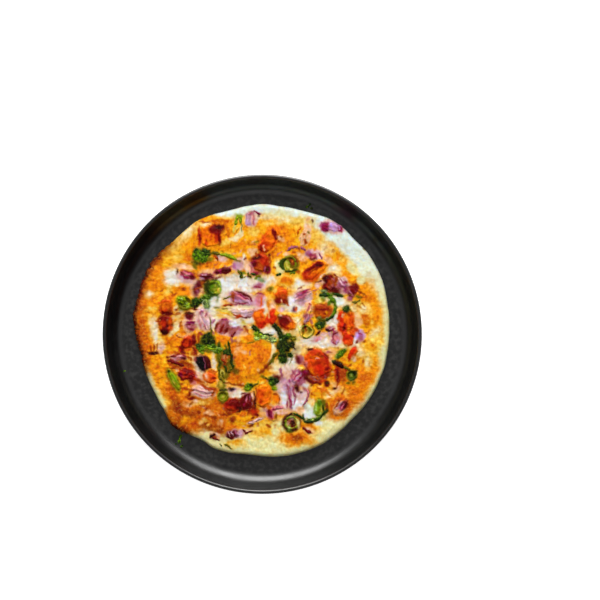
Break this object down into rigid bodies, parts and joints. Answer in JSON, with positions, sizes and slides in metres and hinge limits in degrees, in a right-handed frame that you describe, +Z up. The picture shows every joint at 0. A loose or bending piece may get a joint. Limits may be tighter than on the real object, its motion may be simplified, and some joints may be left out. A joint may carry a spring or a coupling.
{
  "type": "tomato onion uttapam on a plate",
  "caption": "Thick griddled rice and lentil pancake topped with diced tomato, red onion, green chilli and coriander, served on a round black plate with an upright rim.",
  "frame": {"origin": "middle of the plate's foot, on the surface it stands on", "axes": "+Z up, +Y away from the diner, +X to the diner's right"},
  "size_m": [0.26, 0.26, 0.0235],
  "materials": {
    "stoneware": "charcoal black satin glaze",
    "batter": "griddled golden brown, oiled, with pale steamed patches",
    "tomato": "cooked, moist and singed at the edges",
    "onion": "softened, translucent, singed at the edges",
    "greens": "cooked chilli skin and wilted herb leaf"
  },
  "bodies": {
    "root": {"plate": "stoneware", "pancake": "batter", "tomato_01": "tomato", "tomato_02": "tomato", "tomato_03": "tomato", "tomato_04": "tomato", "tomato_05": "tomato", "tomato_06": "tomato", "tomato_07": "tomato", "tomato_08": "tomato", "tomato_09": "tomato", "tomato_10": "tomato", "tomato_11": "tomato", "tomato_12": "tomato", "tomato_13": "tomato", "tomato_14": "tomato", "tomato_15": "tomato", "tomato_16": "tomato", "tomato_17": "tomato", "tomato_18": "tomato", "tomato_19": "tomato", "onion_01": "onion", "onion_02": "onion", "onion_03": "onion", "onion_04": "onion", "onion_05": "onion", "onion_06": "onion", "onion_07": "onion", "onion_08": "onion", "onion_09": "onion", "onion_10": "onion", "onion_11": "onion", "onion_12": "onion", "onion_13": "onion", "onion_14": "onion", "onion_15": "onion", "onion_16": "onion", "onion_17": "onion", "onion_18": "onion", "onion_19": "onion", "onion_20": "onion", "onion_21": "onion", "onion_22": "onion", "onion_23": "onion", "onion_24": "onion", "onion_25": "onion", "onion_26": "onion", "onion_27": "onion", "chilli_ring_01": "greens", "chilli_ring_02": "greens", "chilli_ring_03": "greens", "chilli_ring_04": "greens", "chilli_ring_05": "greens", "chilli_ring_06": "greens", "chilli_ring_07": "greens", "chilli_strip_01": "greens", "chilli_strip_02": "greens", "chilli_strip_03": "greens"}
  },
  "joints": []
}
